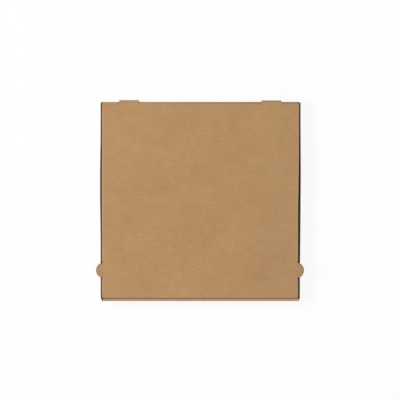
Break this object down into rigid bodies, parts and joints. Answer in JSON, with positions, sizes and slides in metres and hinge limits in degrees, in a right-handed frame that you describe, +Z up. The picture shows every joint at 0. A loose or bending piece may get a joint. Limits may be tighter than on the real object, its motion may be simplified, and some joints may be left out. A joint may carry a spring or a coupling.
{
  "type": "pizza box",
  "caption": "Flat square corrugated take-away box with a hinged lid, round side ears, a rolled double front wall and tucked corner flaps.",
  "frame": {"origin": "middle of the base's underside, on the surface that the box stands on", "axes": "+X to the right seen from the front, -Y towards the front wall, +Z up; the lid's crease runs along X at the rear"},
  "size_m": [0.344, 0.331, 0.04],
  "materials": {
    "kraft_board": "matte"
  },
  "bodies": {
    "tray": {"tray": "kraft_board"},
    "lid": {"lid": "kraft_board"}
  },
  "joints": [
    {"name": "lid_hinge", "type": "hinge", "parent": "tray", "child": "lid", "pos_m": [0, 0.164, 0.04], "axis": [-1, 0, 0], "range_deg": [0, 179]}
  ]
}
